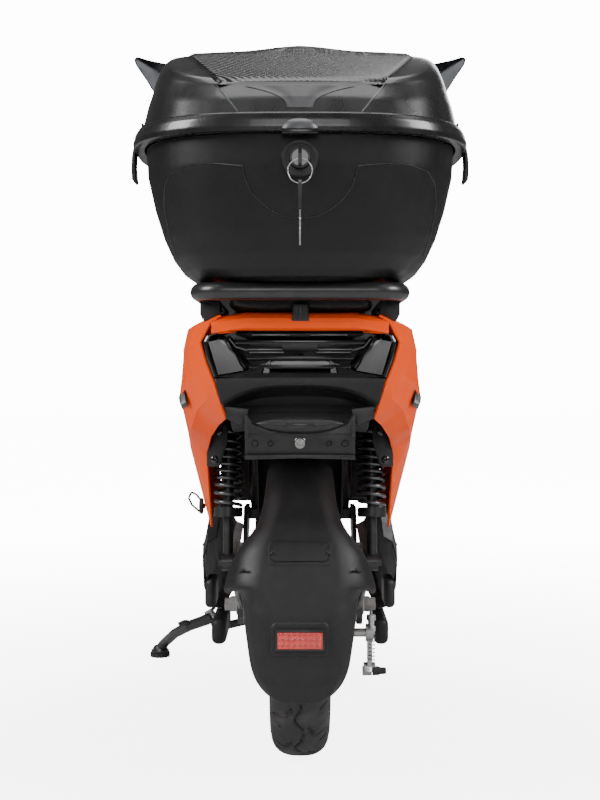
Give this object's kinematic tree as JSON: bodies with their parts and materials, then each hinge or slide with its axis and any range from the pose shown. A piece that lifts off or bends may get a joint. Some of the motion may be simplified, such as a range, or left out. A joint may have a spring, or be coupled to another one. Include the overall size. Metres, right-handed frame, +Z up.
{
  "type": "moped scooter",
  "caption": "Electric step-through moped scooter with folded side panels, lockable top case on a tube carrier, sprung rear swingarm, hub-motor wheel, side stand and steerable fork.",
  "frame": {"origin": "bottom centre of the whole scooter's box, on the ground it stands on", "axes": "+Y forward, the way it drives, +X to the rider's right, +Z up"},
  "size_m": [0.7, 1.83, 1.186],
  "materials": {
    "frame_paint": "satin",
    "steel": "brushed",
    "black_plastic": "satin moulded",
    "case_plastic": "fine grained satin",
    "orange_gloss": "gloss",
    "rubber": "matte",
    "tyre": "matte",
    "smoked_lens": "glossy smoked",
    "lamp_grey": "gloss",
    "red_reflector": "faceted",
    "seat_vinyl": "grained vinyl",
    "cast_alloy": "painted cast",
    "bright_alloy": "satin",
    "chrome_trim": "polished",
    "battery_case": "matte",
    "clear_lens": "clear",
    "spring_black": "gloss"
  },
  "bodies": {
    "body": {"main_frame": "frame_paint", "fasteners": "steel", "floor_tray": "black_plastic", "floor_mat": "rubber", "side_skirts": "black_plastic", "body_panels": "orange_gloss", "lamp_housing": "lamp_grey", "lamp_lenses": "smoked_lens", "tail_lower_cover": "black_plastic", "wheel_liners": "black_plastic", "plate_bracket": "black_plastic", "battery_pack": "battery_case", "motor_controller": "cast_alloy", "rear_rack": "frame_paint", "tail_pad": "seat_vinyl", "mount_plate": "black_plastic", "case_tub": "case_plastic", "charge_cap": "rubber", "side_trims": "chrome_trim", "leg_shield": "black_plastic", "front_apron": "orange_gloss", "shock_springs": "spring_black"},
    "lid": {"case_lid": "case_plastic"},
    "lock": {"lock_key": "steel"},
    "ring": {"key_ring": "steel"},
    "spare": {"spare_key": "steel"},
    "clip_l": {"clip_left": "black_plastic"},
    "clip_r": {"clip_right": "black_plastic"},
    "seat": {"seat_base": "black_plastic", "seat_cushion": "seat_vinyl"},
    "steering": {"fork_upper": "frame_paint", "handlebar": "frame_paint", "handlebar_cowl": "black_plastic", "headlamp": "clear_lens", "left_grip": "rubber", "switch_pods": "black_plastic"},
    "throttle": {"throttle_grip": "rubber"},
    "horn": {"horn_button": "red_reflector"},
    "lever_l": {"lever_left": "cast_alloy"},
    "lever_r": {"lever_right": "cast_alloy"},
    "mirror_l": {"mirror_left": "black_plastic"},
    "mirror_r": {"mirror_right": "black_plastic"},
    "fork": {"fork_sliders": "cast_alloy", "front_fender": "orange_gloss", "brake_caliper": "bright_alloy"},
    "front_wheel": {"front_tyre": "tyre", "front_rim": "cast_alloy", "brake_disc": "steel"},
    "arm": {"swingarm": "frame_paint", "rear_mudguard": "black_plastic", "rear_reflector": "red_reflector", "rear_axle": "steel", "brake_plate": "cast_alloy"},
    "rear_wheel": {"rear_tyre": "tyre", "hub_motor": "cast_alloy"},
    "brake_cam": {"brake_arm": "steel"},
    "shock_top": {"shock_uppers": "frame_paint"},
    "shock_base": {"shock_lowers": "frame_paint"},
    "stand": {"side_stand": "frame_paint", "stand_foot": "rubber"}
  },
  "joints": [
    {"name": "steering_turn", "type": "hinge", "parent": "body", "child": "steering", "pos_m": [0, 0.51849, 0.64435], "axis": [0, -0.3907, 0.9205], "range_deg": [-35, 35]},
    {"name": "fork_slide", "type": "slide", "parent": "steering", "child": "fork", "axis": [0, -0.3907, 0.9205], "range_m": [0, 0.05], "stiffness_N_per_m": 16000, "springref_m": -0.03},
    {"name": "front_wheel_spin", "type": "hinge", "parent": "fork", "child": "front_wheel", "pos_m": [0, 0.712, 0.203], "axis": [1, 0, 0], "continuous": true},
    {"name": "swingarm_turn", "type": "hinge", "parent": "body", "child": "arm", "pos_m": [0, -0.208, 0.232], "axis": [-1, 0, 0], "range_deg": [0, 6], "stiffness_Nm_per_rad": 2600, "springref_deg": -6.88, "deforming": ["shock_springs"]},
    {"name": "rear_wheel_spin", "type": "hinge", "parent": "arm", "child": "rear_wheel", "pos_m": [0, -0.538, 0.203], "axis": [1, 0, 0], "continuous": true},
    {"name": "brake_cam_turn", "type": "hinge", "parent": "arm", "child": "brake_cam", "pos_m": [0, -0.548, 0.165], "axis": [1, 0, 0], "range_deg": [0, 12], "stiffness_Nm_per_rad": 2, "springref_deg": -5.73},
    {"name": "shock_top_turn", "type": "hinge", "parent": "body", "child": "shock_top", "pos_m": [0, -0.516, 0.468], "axis": [-1, 0, 0], "range_deg": [-0.5, 0.5]},
    {"name": "shock_base_turn", "type": "hinge", "parent": "arm", "child": "shock_base", "pos_m": [0, -0.544, 0.262], "axis": [-1, 0, 0], "range_deg": [-6.5, 0.5]},
    {"name": "seat_lift", "type": "hinge", "parent": "body", "child": "seat", "pos_m": [0, 0.022, 0.602], "axis": [-1, 0, 0], "range_deg": [0, 70]},
    {"name": "lid_lift", "type": "hinge", "parent": "body", "child": "lid", "pos_m": [0, -0.48, 0.802], "axis": [-1, 0, 0], "range_deg": [0, 75]},
    {"name": "lock_turn", "type": "hinge", "parent": "body", "child": "lock", "pos_m": [0, -0.868, 0.769], "axis": [0, 1, 0], "range_deg": [0, 90]},
    {"name": "ring_swing", "type": "hinge", "parent": "lock", "child": "ring", "pos_m": [0, -0.904, 0.762], "axis": [1, 0, 0], "range_deg": [-15, 15]},
    {"name": "spare_swing", "type": "hinge", "parent": "ring", "child": "spare", "pos_m": [0, -0.904, 0.7354], "axis": [1, 0, 0], "range_deg": [-15, 15]},
    {"name": "clip_l_turn", "type": "hinge", "parent": "body", "child": "clip_l", "pos_m": [-0.208, -0.684, 0.771], "axis": [0, -1, 0], "range_deg": [0, 70]},
    {"name": "clip_r_turn", "type": "hinge", "parent": "body", "child": "clip_r", "pos_m": [0.208, -0.684, 0.771], "axis": [0, 1, 0], "range_deg": [0, 70]},
    {"name": "throttle_turn", "type": "hinge", "parent": "steering", "child": "throttle", "pos_m": [0.22042, 0.32013, 1.01621], "axis": [0.9958, -0.0885, -0.0221], "range_deg": [0, 60], "stiffness_Nm_per_rad": 0.3, "springref_deg": -11.46},
    {"name": "horn_press", "type": "slide", "parent": "steering", "child": "horn", "axis": [0, 1, 0], "range_m": [0, 0.0012], "stiffness_N_per_m": 800, "springref_m": -0.001},
    {"name": "lever_l_pull", "type": "hinge", "parent": "steering", "child": "lever_l", "pos_m": [-0.18656, 0.35714, 1.01797], "axis": [0, 0, 1], "range_deg": [0, 11], "stiffness_Nm_per_rad": 3, "springref_deg": -5.73},
    {"name": "lever_r_pull", "type": "hinge", "parent": "steering", "child": "lever_r", "pos_m": [0.18656, 0.35714, 1.01797], "axis": [0, 0, -1], "range_deg": [0, 11], "stiffness_Nm_per_rad": 3, "springref_deg": -5.73},
    {"name": "mirror_l_tilt", "type": "hinge", "parent": "steering", "child": "mirror_l", "pos_m": [-0.24, 0.412, 1.128], "axis": [1, 0, 0], "range_deg": [-12, 12]},
    {"name": "mirror_r_tilt", "type": "hinge", "parent": "steering", "child": "mirror_r", "pos_m": [0.24, 0.412, 1.128], "axis": [1, 0, 0], "range_deg": [-12, 12]},
    {"name": "stand_fold", "type": "hinge", "parent": "body", "child": "stand", "pos_m": [-0.152, -0.068, 0.096], "axis": [-0.5099, 0.1583, 0.8456], "range_deg": [0, 88]}
  ],
  "couplings": [
    {"joint": "shock_top_turn", "follows": "swingarm_turn", "ratio": -0.0125},
    {"joint": "shock_base_turn", "follows": "swingarm_turn", "ratio": -1.0125},
    {"joint": "brake_cam_turn", "follows": "lever_l_pull", "ratio": 1}
  ]
}
